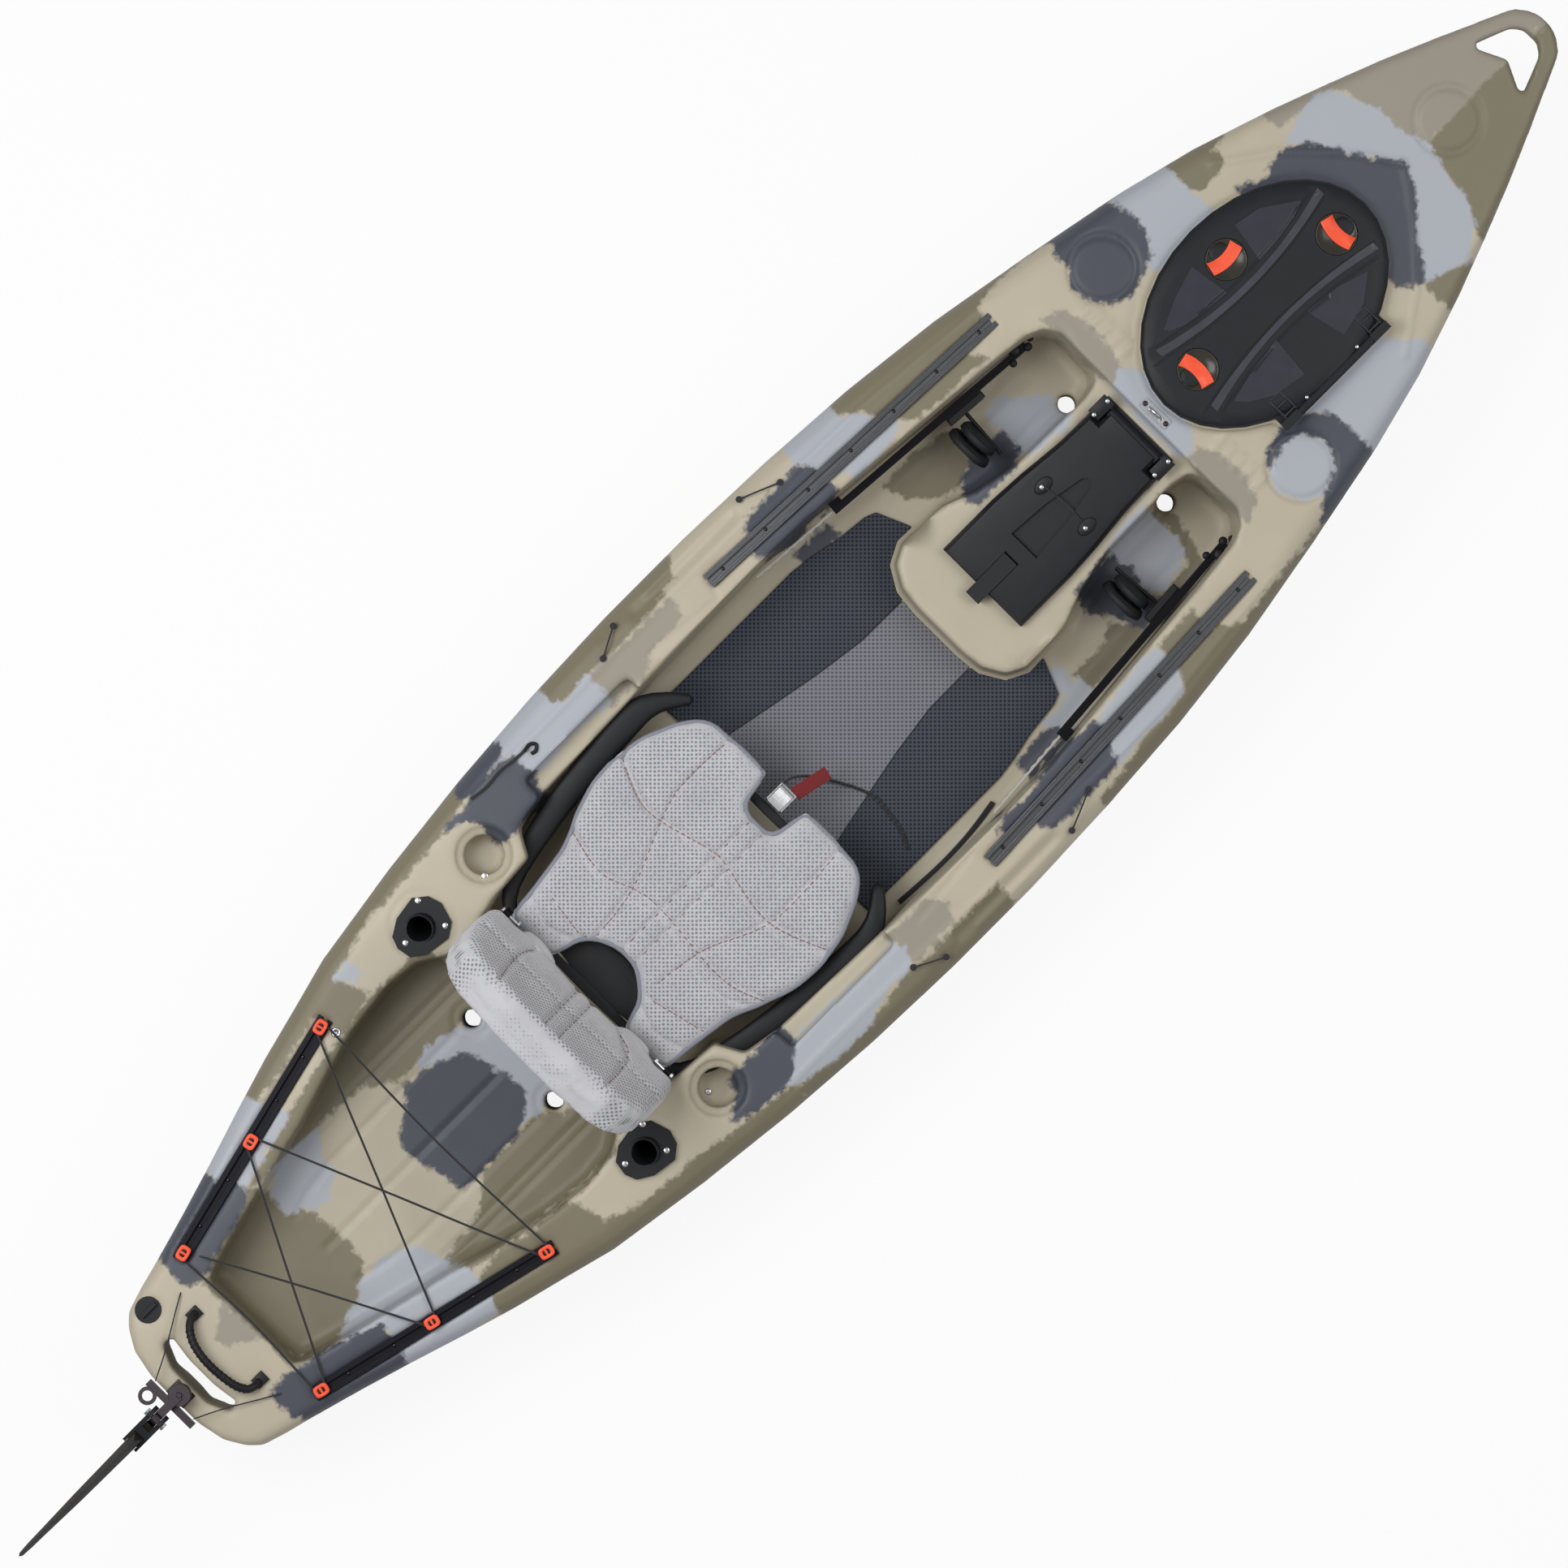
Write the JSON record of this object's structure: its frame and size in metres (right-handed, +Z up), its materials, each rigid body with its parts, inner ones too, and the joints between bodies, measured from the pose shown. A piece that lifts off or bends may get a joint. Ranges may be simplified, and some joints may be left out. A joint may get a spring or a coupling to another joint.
{
  "type": "fishing kayak",
  "caption": "Sit-on-top fishing kayak with an adjustable padded seat, hinged bow hatch, console pod, foot-steered rudder, gear tracks, rod holders and a laced tank well.",
  "frame": {"origin": "amidships on the centreline, on the flat underside of the keel", "axes": "+X to the bow, +Y to port, +Z up"},
  "size_m": [3.897, 0.894, 0.5923],
  "materials": {
    "hull_plastic": "rotomoulded polyethylene, fine matt grain",
    "black_plastic": "moulded, lightly textured",
    "black_alloy": "black anodised",
    "orange_plastic": "moulded, satin",
    "stainless": "brushed",
    "black_cord": "braided sleeve over rubber strands",
    "grey_mesh": "spacer mesh over foam",
    "dark_foam": "closed-cell foam, dotted face",
    "grey_foam": "closed-cell foam, dotted face",
    "pale_rack": "moulded, matt",
    "red_webbing": "woven webbing"
  },
  "bodies": {
    "hull": {"hull": "hull_plastic", "wheel_axle": "stainless", "hatch_ring": "black_plastic", "hatch_hinge_rod": "stainless", "pod_tub": "black_plastic", "deck_eye": "stainless", "front_track_port": "black_alloy", "front_track_starboard": "black_alloy", "rear_track_port": "black_alloy", "rear_track_starboard": "black_alloy", "tie_clip_port_aft": "orange_plastic", "tie_clip_port_middle": "orange_plastic", "tie_clip_port_front": "orange_plastic", "tie_clip_starboard_aft": "orange_plastic", "tie_clip_starboard_middle": "orange_plastic", "tie_clip_starboard_front": "orange_plastic", "tank_cord": "black_cord", "rod_holder_port": "black_plastic", "rod_holder_starboard": "black_plastic", "stern_handle": "black_plastic", "rudder_bracket": "stainless", "steering_cable_port": "black_cord", "steering_cable_starboard": "black_cord", "foot_rail_port": "black_alloy", "foot_rail_starboard": "black_alloy", "floor_pad_port": "dark_foam", "floor_pad_starboard": "dark_foam", "floor_pad_centre": "grey_foam", "paddle_loop_port_rear": "black_cord", "paddle_loop_port_front": "black_cord", "paddle_loop_starboard_rear": "black_cord", "paddle_loop_starboard_front": "black_cord"},
    "keel_wheel": {"keel_wheel": "black_plastic"},
    "hatch_lid": {"hatch_lid": "black_plastic"},
    "latch_aft": {"hatch_latch_aft": "orange_plastic"},
    "latch_port": {"hatch_latch_port": "orange_plastic"},
    "latch_fore": {"hatch_latch_fore": "orange_plastic"},
    "pod_lid": {"pod_lid": "black_plastic"},
    "pod_latch": {"pod_latch": "black_plastic"},
    "drain_plug": {"drain_plug": "black_plastic"},
    "rudder_head": {"rudder_head": "black_plastic", "rudder_bolt": "stainless"},
    "rudder_blade": {"blade_holder": "black_plastic", "rudder_blade": "black_plastic"},
    "seat": {"seat_frame": "black_alloy", "seat_cushion": "grey_mesh", "seat_pivot_port": "stainless", "seat_pivot_starboard": "stainless", "seat_buckle": "stainless", "strap_tab": "red_webbing", "strap_tail": "black_cord"},
    "seat_back": {"seat_back_frame": "black_alloy", "seat_back_cushion": "grey_mesh"},
    "buckle_lever": {"buckle_lever": "stainless"},
    "pedal_port": {"foot_rack_port": "pale_rack", "pedal_carriage_port": "black_plastic"},
    "pedal_starboard": {"foot_rack_starboard": "pale_rack", "pedal_carriage_starboard": "black_plastic"},
    "toe_pad_port": {"toe_pad_port": "black_plastic"},
    "toe_pad_starboard": {"toe_pad_starboard": "black_plastic"}
  },
  "joints": [
    {"name": "wheel_roll", "type": "hinge", "parent": "hull", "child": "keel_wheel", "pos_m": [-1.59, 0, 0.078], "axis": [0, 1, 0], "continuous": true},
    {"name": "lid_hinge", "type": "hinge", "parent": "hull", "child": "hatch_lid", "pos_m": [1.035, -0.181, 0.37197], "axis": [1, 0, 0], "range_deg": [0, 110]},
    {"name": "latch_aft_turn", "type": "hinge", "parent": "hatch_lid", "child": "latch_aft", "pos_m": [0.86709, 0.00187, 0.37], "axis": [0, 0, 1], "range_deg": [0, 90]},
    {"name": "latch_port_turn", "type": "hinge", "parent": "hatch_lid", "child": "latch_port", "pos_m": [1.04296, 0.10509, 0.37], "axis": [0, 0, 1], "range_deg": [0, 90]},
    {"name": "latch_fore_turn", "type": "hinge", "parent": "hatch_lid", "child": "latch_fore", "pos_m": [1.21525, -0.00299, 0.37], "axis": [0, 0, 1], "range_deg": [0, 90]},
    {"name": "pod_hinge", "type": "hinge", "parent": "hull", "child": "pod_lid", "pos_m": [0.7041, 0, 0.31235], "axis": [0, 1, 0], "range_deg": [0, 100]},
    {"name": "pod_latch_hinge", "type": "hinge", "parent": "pod_lid", "child": "pod_latch", "pos_m": [0.38952, 0, 0.25841], "axis": [0, 1, 0], "range_deg": [0, 100]},
    {"name": "drain_turn", "type": "hinge", "parent": "hull", "child": "drain_plug", "pos_m": [-1.668, 0.14796, 0.28], "axis": [0, 0, 1], "continuous": true},
    {"name": "rudder_yaw", "type": "hinge", "parent": "hull", "child": "rudder_head", "pos_m": [-1.733, 0, 0.33], "axis": [0, 0, 1], "range_deg": [-45, 45], "deforming": ["steering_cable_port", "steering_cable_starboard"]},
    {"name": "rudder_lift", "type": "hinge", "parent": "rudder_head", "child": "rudder_blade", "pos_m": [-1.794, 0, 0.34128], "axis": [0, 1, 0], "range_deg": [-75, 20]},
    {"name": "seat_slide", "type": "slide", "parent": "hull", "child": "seat", "axis": [1, 0, 0], "range_m": [-0.035, 0.035]},
    {"name": "back_fold", "type": "hinge", "parent": "seat", "child": "seat_back", "pos_m": [-0.70298, -0.01, 0.33491], "axis": [0, 1, 0], "range_deg": [-12, 108]},
    {"name": "lever_lift", "type": "hinge", "parent": "seat", "child": "buckle_lever", "pos_m": [-0.19298, -0.01, 0.25921], "axis": [0, 1, 0], "range_deg": [0, 70]},
    {"name": "pedal_port_slide", "type": "slide", "parent": "hull", "child": "pedal_port", "axis": [0.9971, -0.0758, 0], "range_m": [-0.06, 0.11]},
    {"name": "toe_port_tilt", "type": "hinge", "parent": "pedal_port", "child": "toe_pad_port", "pos_m": [0.52373, 0.19447, 0.16], "axis": [0.0758, 0.9971, 0], "range_deg": [-20, 20]},
    {"name": "pedal_starboard_slide", "type": "slide", "parent": "hull", "child": "pedal_starboard", "axis": [0.9971, 0.0758, 0], "range_m": [-0.06, 0.11]},
    {"name": "toe_starboard_tilt", "type": "hinge", "parent": "pedal_starboard", "child": "toe_pad_starboard", "pos_m": [0.52373, -0.19447, 0.16], "axis": [-0.0758, 0.9971, 0], "range_deg": [-20, 20]}
  ],
  "couplings": [
    {"joint": "toe_port_tilt", "follows": "rudder_yaw", "ratio": -0.4},
    {"joint": "toe_starboard_tilt", "follows": "rudder_yaw", "ratio": 0.4}
  ]
}
